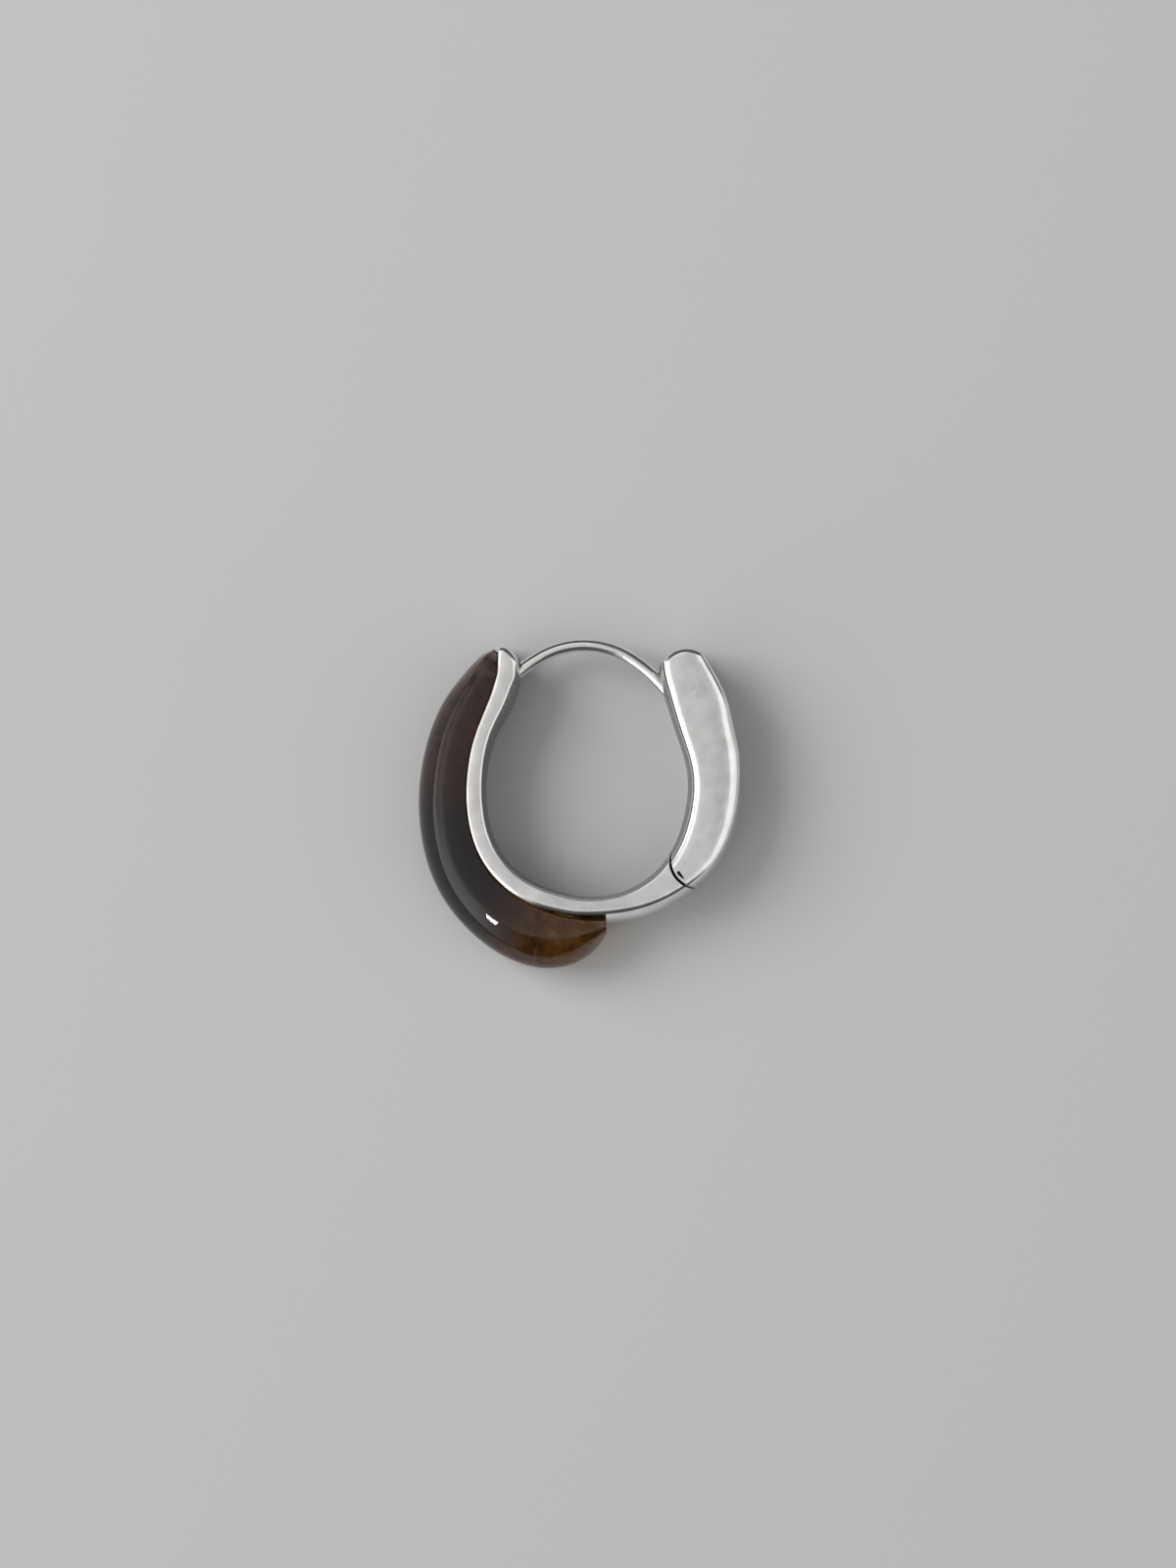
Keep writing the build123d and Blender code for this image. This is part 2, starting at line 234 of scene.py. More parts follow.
# Shader nodes
def add_node(tree, kind, **settings):
    node = tree.nodes.new("ShaderNode" + kind)
    for name, value in settings.items():
        setattr(node, name, value)
    return node


def feed(tree, socket, value):
    """Gives a socket a number or colour, or links it to another socket."""
    if isinstance(value, bpy.types.NodeSocket):
        tree.links.new(value, socket)
    else:
        socket.default_value = value


def calculate(tree, operation, *values):
    node = add_node(tree, "Math", operation=operation)
    for socket, value in zip(node.inputs, values):
        feed(tree, socket, value)
    return node.outputs[0]


def ramp(tree, value, stops):
    """Colours or levels between stops, each a place with a level or a colour."""
    node = add_node(tree, "ValToRGB")
    feed(tree, node.inputs[0], value)
    elements = node.color_ramp.elements
    elements.remove(elements[1])
    for i, (place, colour) in enumerate(stops):
        stop = elements[0] if i == 0 else elements.new(place)
        stop.position = place
        level = isinstance(colour, (int, float))
        stop.color = (colour, colour, colour, 1) if level else (*colour, 1)
    return node.outputs[0]


def blend_colours(tree, share, first, second):
    node = add_node(tree, "Mix", data_type="RGBA")
    feed(tree, node.inputs["Factor"], share)
    for socket, value in zip([s for s in node.inputs if s.type == "RGBA"], (first, second)):
        feed(tree, socket, value if isinstance(value, bpy.types.NodeSocket) else (*value, 1))
    return [s for s in node.outputs if s.type == "RGBA"][0]


def millimetres(tree):
    """Places on the piece, in millimetres."""
    node = add_node(tree, "VectorMath", operation="SCALE")
    feed(tree, node.inputs[0], add_node(tree, "TexCoord").outputs["Object"])
    node.inputs["Scale"].default_value = 1 / MM
    return node.outputs[0]


def stretched(tree, place, turn, scale):
    """Places turned about the upright axis and scaled, for streaks."""
    node = add_node(tree, "Mapping", vector_type="TEXTURE")
    feed(tree, node.inputs["Vector"], place)
    node.inputs["Rotation"].default_value = (0, 0, radians(turn))
    node.inputs["Scale"].default_value = scale
    return node.outputs[0]


def noise(tree, place, scale, detail=2.0, distortion=0.0):
    node = add_node(tree, "TexNoise")
    feed(tree, node.inputs["Vector"], place)
    node.inputs["Scale"].default_value = scale
    node.inputs["Detail"].default_value = detail
    node.inputs["Distortion"].default_value = distortion
    return node.outputs["Fac"]


def nearness(tree, place, centre, radius):
    """1 at a spot, falling to 0 at a radius from it."""
    node = add_node(tree, "VectorMath", operation="DISTANCE")
    feed(tree, node.inputs[0], place)
    node.inputs[1].default_value = centre
    share = calculate(tree, "DIVIDE", node.outputs["Value"], radius)
    return ramp(tree, share, ((0.0, 1), (0.6, 0.8), (1.0, 0)))


def bump(tree, surface, height, strength, distance):
    node = add_node(tree, "Bump")
    feed(tree, node.inputs["Height"], height)
    node.inputs["Strength"].default_value = strength
    node.inputs["Distance"].default_value = distance * MM
    tree.links.new(node.outputs["Normal"], surface.inputs["Normal"])


def new_material(name):
    material = bpy.data.materials.new(name)
    material.use_nodes = True
    tree = material.node_tree
    return material, tree, tree.nodes["Principled BSDF"]


# Materials
# hair_sets: a direction in degrees and a length for each set of hairline scratches
hair_sets = ((24, 3.4), (-52, 4.4), (71, 2.7))
hair_width = 0.03
hair_depth = 3.4
worn_colour = (0.30, 0.28, 0.26)
stone_colour = (0.13, 0.065, 0.032)
# Painted light: lighter tints for the stone's thin tip and foot, where light shows through
stone_tip_painted_light = (0.64, 0.37, 0.23)
stone_foot_painted_light = (0.98, 0.86, 0.45)
stone_absorption = (0.82, 0.69, 0.10, 1)
stone_density = 640
quartz_ior = 1.54


def silver_material():
    """Mirror polish with soft waves, hairline scratches and one worn spot on the arm."""
    material, tree, surface = new_material("polished_silver")
    place = millimetres(tree)
    patches = noise(tree, place, 0.9, 8)
    hairs = None
    for turn, length in hair_sets:
        along_hair = stretched(tree, place, turn, (length, hair_width, hair_depth))
        streaks = noise(tree, along_hair, 1.0, 2)
        lines = ramp(tree, streaks, ((0.66, 0), (0.70, 1), (0.73, 0)))
        hairs = lines if hairs is None else calculate(tree, "MAXIMUM", hairs, lines)
    worn = nearness(tree, place, (*worn_spot, band_width), worn_radius)
    squiggles = ramp(tree, noise(tree, place, 1.7, 1, 0.6), ((0.45, 0), (0.49, 1), (0.53, 0)))
    marks = calculate(tree, "MULTIPLY", worn, squiggles)
    dull = calculate(tree, "MAXIMUM", calculate(tree, "MULTIPLY", hairs, 0.12), marks)
    roughness = calculate(tree, "MULTIPLY_ADD", patches, 0.14, 0.02)
    feed(tree, surface.inputs["Roughness"], calculate(tree, "MULTIPLY_ADD", dull, 0.30, roughness))
    tint = ramp(tree, patches, ((0.3, (0.82, 0.81, 0.79)), (0.7, (0.97, 0.965, 0.955))))
    feed(
        tree,
        surface.inputs["Base Color"],
        blend_colours(tree, calculate(tree, "MULTIPLY", dull, 0.7), tint, worn_colour),
    )
    surface.inputs["Metallic"].default_value = 1
    waves = noise(tree, place, 0.6, 1)
    height = calculate(tree, "MULTIPLY_ADD", noise(tree, place, 2.2, 2), 0.25, waves)
    height = calculate(tree, "MULTIPLY_ADD", noise(tree, place, 9, 2), 0.05, height)
    bump(tree, surface, calculate(tree, "MULTIPLY_ADD", hairs, -0.012, height), 1.0, 0.02)
    return material


def cast_silver_material():
    """The inner wall: grainy and hardly polished as cast, with painted shade in its dark base colour
    so that it mirrors less of the floor.
    """
    material, tree, surface = new_material("cast_silver")
    place = millimetres(tree)
    grain = noise(tree, place, 9, 4, 0.4)
    # Painted shade: a dark base colour, so that the wall mirrors less
    tint = ramp(tree, grain, ((0.34, (0.20, 0.19, 0.18)), (0.70, (0.50, 0.48, 0.46))))
    feed(tree, surface.inputs["Base Color"], tint)
    feed(tree, surface.inputs["Roughness"], calculate(tree, "MULTIPLY_ADD", grain, -0.25, 0.42))
    surface.inputs["Metallic"].default_value = 1
    bump(tree, surface, grain, 1.0, 0.012)
    return material


def dull_silver_material():
    """Unpolished metal, nearly black with painted shade, inside the hinge, the catch hole and the
    pit.
    """
    material, tree, surface = new_material("dull_silver")
    place = millimetres(tree)
    shade_blotches = noise(tree, place, 3.0, 4)
    # Painted shade: near-black colour in the hollows, blotchy
    tint = ramp(tree, shade_blotches, ((0.35, (0.012, 0.009, 0.007)), (0.75, (0.085, 0.075, 0.065))))
    feed(tree, surface.inputs["Base Color"], tint)
    feed(tree, surface.inputs["Roughness"], calculate(tree, "MULTIPLY_ADD", shade_blotches, 0.3, 0.45))
    surface.inputs["Specular IOR Level"].default_value = 0.25
    bump(tree, surface, noise(tree, place, 14, 2), 0.3, 0.02)
    return material


def stone_material():
    """Clear stone, nearly black along its side, with painted light in its base colour: red-brown at
    its thin tip and amber at its thin foot, where light shows through.
    """
    material, tree, surface = new_material("brown_stone")
    place = millimetres(tree)
    clouds = noise(tree, place, 0.75, 5, 1.2)
    depth = ramp(tree, clouds, ((0.32, 0.30), (0.62, 1.0)))
    near_tip = nearness(tree, place, stone_tip_glow, stone_tip_reach)
    near_foot = nearness(tree, place, stone_foot_glow, stone_foot_reach)
    tip = calculate(tree, "MULTIPLY", near_tip, depth)
    foot = calculate(tree, "MULTIPLY", near_foot, depth)
    # Painted light: lighter colour towards the thin tip and foot, broken by clouds
    tint = blend_colours(tree, tip, stone_colour, stone_tip_painted_light)
    tint = blend_colours(tree, foot, tint, stone_foot_painted_light)
    feed(tree, surface.inputs["Base Color"], tint)
    surface.inputs["Roughness"].default_value = 0.02
    surface.inputs["IOR"].default_value = quartz_ior
    surface.inputs["Specular IOR Level"].default_value = 0.27
    wisps = ramp(tree, noise(tree, place, 0.6, 7, 1.6), ((0.47, 0), (0.50, 1), (0.53, 0)))
    specks = ramp(tree, noise(tree, place, 7, 2), ((0.50, 0), (0.66, 1)))
    milk = calculate(tree, "MULTIPLY", calculate(tree, "MULTIPLY", wisps, specks), foot)
    clear = calculate(tree, "MULTIPLY_ADD", milk, -0.14, 1.0)
    feed(tree, surface.inputs["Transmission Weight"], clear)
    inside = add_node(tree, "VolumeAbsorption")
    inside.inputs["Color"].default_value = stone_absorption
    inside.inputs["Density"].default_value = stone_density
    tree.links.new(inside.outputs["Volume"], tree.nodes["Material Output"].inputs["Volume"])
    return material


def stone_seat_painted_shade_material():
    """A dark brown layer on the stone's underside, painted shade that keeps the stone dark over the
    rail.
    """
    material, tree, surface = new_material("dark_cement")
    shade_blotches = noise(tree, millimetres(tree), 0.5, 3)
    tint = ramp(tree, shade_blotches, ((0.3, (0.20, 0.10, 0.04)), (0.7, (0.38, 0.20, 0.08))))
    feed(tree, surface.inputs["Base Color"], tint)
    surface.inputs["Roughness"].default_value = 0.7
    return material


polished_silver = silver_material()
dull_silver = dull_silver_material()
cast_silver = cast_silver_material()
metal_looks = [polished_silver, dull_silver, cast_silver]
brown_stone = stone_material()
dark_cement = stone_seat_painted_shade_material()
stone_looks = [brown_stone, dark_cement]


# Smooth curves through the rows
def smooth_through(knots, values, spots):
    """A natural cubic curve through the values at the knots, read at the spots."""
    gaps = np.diff(knots)
    count = len(knots)
    system = np.eye(count)
    right = np.zeros(count)
    for i in range(1, count - 1):
        system[i, i - 1 : i + 2] = gaps[i - 1], 2 * (gaps[i - 1] + gaps[i]), gaps[i]
        rise_after = (values[i + 1] - values[i]) / gaps[i]
        rise_before = (values[i] - values[i - 1]) / gaps[i - 1]
        right[i] = 6 * (rise_after - rise_before)
    bend = np.linalg.solve(system, right)
    span = np.clip(np.searchsorted(knots, spots, side="right") - 1, 0, count - 2)
    gap = gaps[span]
    after = (spots - knots[span]) / gap
    before = 1 - after
    cubic = (before**3 - before) * bend[span] + (after**3 - after) * bend[span + 1]
    return before * values[span] + after * values[span + 1] + cubic * gap**2 / 6


Section = namedtuple("Section", "place facing metal stone width bulge shoulder crown dome")


def sections_along(use):
    """Closely spaced sections for one use, smooth from row to row."""
    used = [row for row in rows if use in row.uses]
    places = np.array([plan_point(row) for row in used])
    facing = np.array([row.facing for row in used], float)
    metal = np.array([row.rail * rail_thickness + row.arm * arm_thickness for row in used])
    stone = np.array([row.stone * stone_thickness for row in used])
    outside = np.stack([np.cos(np.radians(facing)), np.sin(np.radians(facing))], axis=1)
    outer = places + outside * (metal + stone)[:, None]
    steps = np.linalg.norm(np.diff((places + outer) / 2, axis=0), axis=1)
    knots = np.concatenate([[0], np.cumsum(steps)])
    spots = np.linspace(0, knots[-1], ceil(knots[-1] / mesh_step) + 1)
    shares = [
        np.array([getattr(row, name) for row in used])
        for name in ("width", "bulge", "shoulder", "crown", "dome")
    ]
    columns = [
        smooth_through(knots, values, spots)
        for values in (places[:, 0], places[:, 1], facing, metal, stone, *shares)
    ]
    return [
        Section(np.array([x, y]), direction, metal, stone, min(width, 1.0), *rest)
        for x, y, direction, metal, stone, width, *rest in zip(*columns)
    ]


# Outlines of a section, as out and rise from the inner wall's middle
def arc(out, rise, radius, start, end, count):
    turn = np.radians(np.linspace(start, end, count))
    return np.stack([out + radius * np.cos(turn), rise + radius * np.sin(turn)], axis=1)


def dome_half(top, half, shoulder, crown):
    """The shoulder and half the crown, from the flat side to the middle plane."""
    flat = half - shoulder
    turn = (crown * crown + 2 * crown * shoulder + flat * flat) / (2 * crown)
    start = top - crown - shoulder
    join = degrees(atan2(flat, turn - crown - shoulder))
    corner = arc(start, flat, shoulder, 90, join, shoulder_points)
    face = arc(top - turn, 0, turn, join, 0, crown_points)
    return np.concatenate([corner, face[1:]])


def mirrored(half_outline):
    """A closed outline from its upper half, which starts and ends on the middle plane."""
    lower = half_outline[-2:0:-1] * np.array([1, -1])
    return np.concatenate([half_outline, lower])


def crown_side(outline, inner, outer, half):
    """Gives the flat sides a slight crown, so that they tilt at their edges."""
    centre, reach = (inner + outer) / 2, (outer - inner) / 2
    drop = tan(radians(side_tilt)) * reach / 2
    away = (outline[:, 0] - centre) / reach
    shaped = outline.copy()
    shaped[:, 1] *= 1 - drop * away**2 / half
    return shaped


def metal_outline(section, edge):
    half = section.width * band_width / 2
    shoulder = section.shoulder * section.metal
    crown = section.crown * section.metal
    recess = section.bulge * inner_bulge
    start = section.metal - crown - shoulder
    edge = min(edge, widest_edge * (start - recess))
    wall = half - edge
    turn = (recess * recess + wall * wall) / (2 * recess)
    lean = degrees(asin(wall / turn))
    inside = arc(turn, 0, turn, 180, 180 - lean, inner_wall_points)
    corner = arc(recess + edge, wall, edge, 180, 90, inner_edge_points)
    flat = np.linspace((recess + edge, half), (start, half), metal_side_points)
    outside = dome_half(section.metal, half, shoulder, crown)
    outline = np.concatenate([inside, corner[1:], flat[1:-1], outside])
    return mirrored(crown_side(outline, recess + edge, start, half))


def stone_outline(section):
    half = section.width * band_width / 2
    top = section.metal + section.stone
    shoulder = section.dome * section.stone
    crown = stone_crown * section.stone
    root = stone_root * section.metal
    start = top - crown - shoulder
    inside = np.linspace((root, 0), (root, half), stone_root_points)
    flat = np.linspace((root, half), (start, half), stone_side_points)
    outside = dome_half(top, half, shoulder, crown)
    outline = np.concatenate([inside, flat[1:-1], outside])
    return mirrored(crown_side(outline, root, start, half))


def seat_outline(section):
    """The rail's crown, raised by the stone's gap and wider than the band."""
    half = section.width * band_width / 2
    shoulder, crown = section.shoulder * section.metal, section.crown * section.metal
    flat = half - shoulder
    turn = (crown * crown + 2 * crown * shoulder + flat * flat) / (2 * crown) + stone_gap
    reach = half + 2 * stone_gap
    lean = degrees(asin(reach / turn))
    face = arc(section.metal + stone_gap - turn, 0, turn, lean, 0, seat_points)
    return mirrored(np.concatenate([[[-rail_thickness, 0], [-rail_thickness, reach]], face]))


# Meshes
def make_mesh(name, points, faces):
    """A mesh object from millimetre points, in the frame's place and metres."""
    mesh = bpy.data.meshes.new(name)
    placed = (np.asarray(points, float) + frame_shift) * MM
    mesh.from_pydata(placed.tolist(), [], faces)
    mesh.validate()
    mesh.update()
    piece = bpy.data.objects.new(name, mesh)
    bpy.context.scene.collection.objects.link(piece)
    return piece


def in_space(section, outline):
    """A section's outline as points in space."""
    turn = radians(section.facing)
    out = outline[:, :1] * np.array([[cos(turn), sin(turn)]])
    rise = outline[:, 1:] + middle
    return np.concatenate([section.place + out, rise], axis=1)


def rounded_end(ring, before, depth):
    """Rings that close an end with a rounded edge, going on from the ring before it."""
    centre = ring.mean(axis=0)
    onward = ring.mean(axis=0) - before.mean(axis=0)
    onward /= np.linalg.norm(onward)
    size = np.linalg.norm(ring - centre, axis=1).min()
    rings = []
    for turn in np.radians(np.linspace(0, 90, tip_rings + 1)[1:]):
        shrink = 1 - depth / size * (1 - cos(turn))
        rings.append(centre + (ring - centre) * shrink + onward * depth * sin(turn))
    return rings


def skin(name, rings):
    """A closed mesh over a run of rings with equal numbers of points."""
    count = len(rings[0])
    points = np.concatenate(rings)
    faces = []
    for i in range(len(rings) - 1):
        for j in range(count):
            k = (j + 1) % count
            low, high = i * count, (i + 1) * count
            faces.append((low + j, low + k, high + k, high + j))
    last = (len(rings) - 1) * count
    faces.append(tuple(range(count - 1, -1, -1)))
    faces.append(tuple(last + j for j in range(count)))
    piece = make_mesh(name, points, faces)
    face_out(piece)
    return piece


def face_out(piece):
    """Turns the faces outwards if the mesh is inside out."""
    mesh = piece.data
    volume = 0.0
    for face in mesh.polygons:
        corners = [mesh.vertices[v].co for v in face.vertices]
        for a, b in zip(corners[1:-1], corners[2:]):
            volume += corners[0].dot(a.cross(b))
    if volume < 0:
        mesh.flip_normals()


def lofted(name, use, outline, first_round=0):
    """A mesh through the outlines of all sections of one use, with its first end rounded or flat."""
    rings = [in_space(section, outline(section)) for section in sections_along(use)]
    if first_round:
        rings = rounded_end(rings[0], rings[1], first_round)[::-1] + rings
    return skin(name, rings)


def prism(name, outline, low, high):
    """A closed prism over a plan outline."""
    base = np.asarray(outline, float)
    rings = [np.column_stack([base, np.full(len(base), height)]) for height in (low, high)]
    return skin(name, rings)


def inset(outline, depth):
    """A closed outline that runs anticlockwise, moved inwards."""
    ahead = np.roll(outline, -1, axis=0) - outline
    ahead = ahead / np.linalg.norm(ahead, axis=1)[:, None]
    both = ahead + np.roll(ahead, 1, axis=0)
    share = 2 / (both * both).sum(axis=1)
    return outline + depth * share[:, None] * np.stack([-both[:, 1], both[:, 0]], axis=1)


def end_outline(end):
    """A free end's curve from above, with straight sides that spread behind it."""
    half_width, length = end.half_width * end.thickness, end.length * end.thickness
    power = 2 / end.squareness
    first, last = [
        atan((length / half_width * tan(radians(spread))) ** (1 / (2 - power)))
        for spread in (end.right_spread, end.left_spread)
    ]
    turn = np.linspace(first, pi - last, end_curve_points)
    across = half_width * np.sign(np.cos(turn)) * np.abs(np.cos(turn)) ** power
    curve = np.stack([across, length * np.sin(turn) ** power], axis=1)
    right, left = radians(end.right_spread), radians(end.left_spread)
    right_foot = curve[0] + far * np.array([sin(right), -cos(right)])
    left_foot = curve[-1] - far * np.array([sin(left), cos(left)])
    outline = np.concatenate([[right_foot], curve, [left_foot]])
    return turned(outline, end.direction - 90) + plan_point(end)


def end_tool(end):
    """All of the band's room that a rounded free end leaves."""
    outline = end_outline(end)
    rim = end.rim * end.thickness
    low, high = -end_clearance, band_width + end_clearance
    quarter = np.radians(np.linspace(0, 90, end_rim_points))
    depths = rim * (1 - np.sin(quarter))
    rises = rim * (1 - np.cos(quarter))
    rings = [
        np.column_stack([inset(outline, depth), np.full(len(outline), height)])
        for depth, height in (*zip(depths, low + rises), *zip(depths[::-1], high - rises[::-1]))
    ]
    rest = rectangle(-far, -far, far, end.below * bore_length / 2)
    return join(skin("end", rings), prism("rest", rest, -far, far))


def around(count):
    """Angles of a full turn."""
    return np.linspace(0, 2 * pi, count, endpoint=False)


def circle(radius, count):
    turn = around(count)
    return np.stack([radius * np.cos(turn), radius * np.sin(turn)], axis=1)


def turned(outline, angle):
    c, s = cos(radians(angle)), sin(radians(angle))
    return np.asarray(outline, float) @ np.array([[c, s], [-s, c]])


def rectangle(x0, y0, x1, y1):
    return np.array([[x0, y0], [x1, y0], [x1, y1], [x0, y1]], float)


def combine(piece, tool, operation):
    """Cuts, joins or keeps the common part of a piece and a tool, and removes the tool."""
    change = piece.modifiers.new("combine", "BOOLEAN")
    change.operation = operation
    change.solver = "EXACT"
    change.object = tool
    graph = bpy.context.evaluated_depsgraph_get()
    made = bpy.data.meshes.new_from_object(piece.evaluated_get(graph))
    piece.modifiers.clear()
    old = piece.data
    piece.data = made
    bpy.data.meshes.remove(old)
    bpy.data.objects.remove(tool)
    return piece


def cut(piece, tool):
    return combine(piece, tool, "DIFFERENCE")


def join(piece, tool):
    return combine(piece, tool, "UNION")


def metal_loft(name, use, edge):
    """The band's metal for one use, with its inner wall grainy as cast and darkened by painted
    shade.
    """
    metal = lofted(name, use, lambda section: metal_outline(section, edge))
    faced(metal, polished_silver)
    count = len(metal_outline(sections_along(use)[0], edge))
    for i, face in enumerate(metal.data.polygons):
        column = i % count
        if min(column, count - 1 - column) < inner_wall_points - 1:
            face.material_index = metal_looks.index(cast_silver)
    return metal


def faced(piece, material, looks=metal_looks):
    """Puts one of the metal's or the stone's looks on a piece, and gives it slots for them all."""
    for look in looks:
        piece.data.materials.append(look)
    for face in piece.data.polygons:
        face.material_index = looks.index(material)
    return piece


# Painted shade: the faces that a tool cuts get the near-black metal
def with_painted_shade(tool):
    return faced(tool, dull_silver)


def at_pin(outline):
    return np.asarray(outline, float) + pin_spot


def hinge_bar(direction, width, length):
    return at_pin(turned(rectangle(0, -width / 2, length, width / 2), direction))


def tube_rings(route, radius):
    """Rings across a run of points, each facing the way its neighbours lead."""
    rings = []
    ahead = np.gradient(route, axis=0)
    turn = around(wire_points)
    for spot, way in zip(route, ahead):
        way = way / np.linalg.norm(way)
        side = np.array([-way[1], way[0], 0])
        ring = radius * (np.outer(np.cos(turn), side) + np.outer(np.sin(turn), [0, 0, 1]))
        rings.append(spot + ring)
    return rings


def three_point_arc(start, via, end, count):
    """Points on the arc from start to end through via, in the plan."""
    centre = circle_centre(start, via, end)
    angles = [atan2(*(p - centre)[::-1]) for p in (start, via, end)]
    swing = (angles[2] - angles[0]) % (2 * pi)
    if (angles[1] - angles[0]) % (2 * pi) > swing:
        swing -= 2 * pi
    turn = angles[0] + np.linspace(0, swing, count)
    radius = np.linalg.norm(start - centre)
    return centre + radius * np.stack([np.cos(turn), np.sin(turn)], axis=1)


def circle_centre(a, b, c):
    matrix = 2 * np.array([b - a, c - a])
    right = np.array([b @ b - a @ a, c @ c - a @ a])
    return np.linalg.solve(matrix, right)


def tangent_arc(start, way, end, count):
    """Points on the arc that leaves start along way and passes through end, in the plan."""
    way = way / np.linalg.norm(way)
    side = np.array([-way[1], way[0]])
    chord = end - start
    radius = chord @ chord / (2 * (chord @ side))
    centre = start + side * radius
    sweep = 2 * atan2(chord @ side, chord @ way)
    first = atan2(*(start - centre)[::-1])
    turn = first + np.linspace(0, sweep, count)
    return centre + abs(radius) * np.stack([np.cos(turn), np.sin(turn)], axis=1)


def wire_legs():
    """The left leg from the arch to the tip, the arch, and the right leg to the root."""
    tip, left, top, right, root = map(
        plan_point, (wire_tip, wire_left, wire_top, wire_right, wire_root)
    )
    left_count, arch_count, right_count = wire_leg_points
    arch = three_point_arc(left, top, right, arch_count)
    centre = circle_centre(left, top, right)
    left_way = np.array([-(left - centre)[1], (left - centre)[0]])
    right_way = np.array([(right - centre)[1], -(right - centre)[0]])
    left_leg = tangent_arc(left, left_way, tip, left_count)
    right_leg = tangent_arc(right, right_way, root, right_count)
    return left_leg, arch, right_leg


def raised(points):
    return np.column_stack([points, np.full(len(points), middle)])


def ear_wire():
    left_leg, arch, right_leg = wire_legs()
    route = raised(np.concatenate([left_leg[::-1], arch[1:], right_leg[1:]]))
    rings = tube_rings(route, wire_radius)
    tip = rounded_end(rings[0], rings[1], wire_tip_round)
    return skin("ear_wire", tip[::-1] + rings)


def catch_hole():
    """The room round the wire's left leg, going on past the tip."""
    leg = raised(wire_legs()[0])
    onward = leg[-1] - leg[-2]
    onward = onward / np.linalg.norm(onward)
    route = np.concatenate([leg, [leg[-1] + onward * catch_end_gap]])
    return skin("catch_hole", tube_rings(route, wire_radius + catch_gap))


def arm_side(inward):
    """All on the arm's side of the hinge's section, from so far inside the pin outwards."""
    turned_box = turned(rectangle(-inward, 0, far, far / 2), hinge_row.facing)
    return prism("arm_side", at_pin(turned_box), -far, far)


def round_tool(radius, low, high):
    return prism("round_tool", at_pin(circle(radius, hinge_points)), low, high)


def tongue():
    """The rail's knuckle: a round eye about the pin and the neck that joins it to the rail."""
    low, high = middle - tongue_width / 2, middle + tongue_width / 2
    bar = hinge_bar(neck_direction, neck_width, knuckle_radius + 3 * seam_gap)
    neck = prism("neck", bar, low, high)
    eye = round_tool(tongue_radius, low, high)
    return join(faced(eye, cast_silver), with_painted_shade(neck))


def bar_reach(turn, direction, half_width, length):
    """How far a straight bar from the pin reaches at each angle about the pin."""
    across = np.abs(np.sin(turn - radians(direction)))
    along = np.cos(turn - radians(direction))
    reach = np.minimum(length / np.maximum(along, tiny), half_width / np.maximum(across, tiny))
    return np.where(along > 0, reach, 0)


def slot_tool():
    """The space that the tongue and its neck sweep in the arm, as one prism about the pin."""
    half = tongue_width / 2 + tongue_side_gap
    eye = tongue_radius + slot_gap
    neck = neck_width / 2 + slot_gap
    length = 2 * knuckle_radius
    turn = around(slot_points)
    reaches = [np.full(len(turn), eye), bar_reach(turn, hinge_row.facing, eye, length)]
    for opened in np.linspace(0, open_angle + swing_margin, slot_steps):
        reaches.append(bar_reach(turn, neck_direction + opened, neck, length))
    outline = circle(1, slot_points) * np.max(reaches, axis=0)[:, None]
    return prism("slot", at_pin(outline), middle - half, middle + half)


def pin_tool(grow):
    half = hinge_row.width * band_width / 2 - pin_cap + grow
    return round_tool(pin_radius + grow, middle - half, middle + half)


def pit_tool():
    """The pit and its tail, as round hollows that get narrower and shallower."""
    top = middle + hinge_row.width * band_width / 2
    tool = None
    for share in np.linspace(0, 1, pit_steps):
        radius = pit_radius + share * (pit_tail_radius - pit_radius)
        way = pit_direction + share * pit_tail_sweep
        spot = circle(radius, pit_points) + turned([[pit_reach, 0]], way)
        hollow = prism("pit", at_pin(spot), top - pit_depth * (1 - share / 3), far)
        tool = join(tool, hollow) if tool else hollow
    return tool


def chip_tool():
    half_sizes = np.array([chip_length, chip_width]) / 2
    outline = turned(circle(1, chip_points) * half_sizes, chip_direction)
    spot = np.array(chip_spot) - frame_shift[:2]
    return prism("chip", outline + spot, band_width - chip_depth, far)


def polish(piece):
    """Smooth shading, with the sharp edges kept."""
    for face in piece.data.polygons:
        face.use_smooth = True
    piece.data.set_sharp_from_angle(angle=radians(sharp_angle))


def make_rail():
    rail = metal_loft("rail", "r", rail_edge)
    combine(rail, end_tool(rail_end), "INTERSECT")
    # The faces cut by the dark tools below get painted shade
    cut(rail, with_painted_shade(arm_side(bore_width / 2)))
    cut(rail, with_painted_shade(round_tool(knuckle_radius + seam_gap, -far, far)))
    join(rail, tongue())
    cut(rail, with_painted_shade(round_tool(pin_radius + pin_running_gap, 0, band_width)))
    cut(rail, with_painted_shade(catch_hole()))
    polish(rail)
    return rail


def make_stone():
    stone = lofted("stone_crescent", "s", stone_outline, first_round=stone_tip_round)
    faced(stone, brown_stone, stone_looks)
    # The stone's underside gets the dark brown layer of painted shade
    cut(stone, faced(lofted("seat", "r", seat_outline), dark_cement, stone_looks))
    cut(stone, prism("stone_end", rectangle(stone_end, -far, far, far), -far, far))
    cut(stone, chip_tool())
    polish(stone)
    return stone


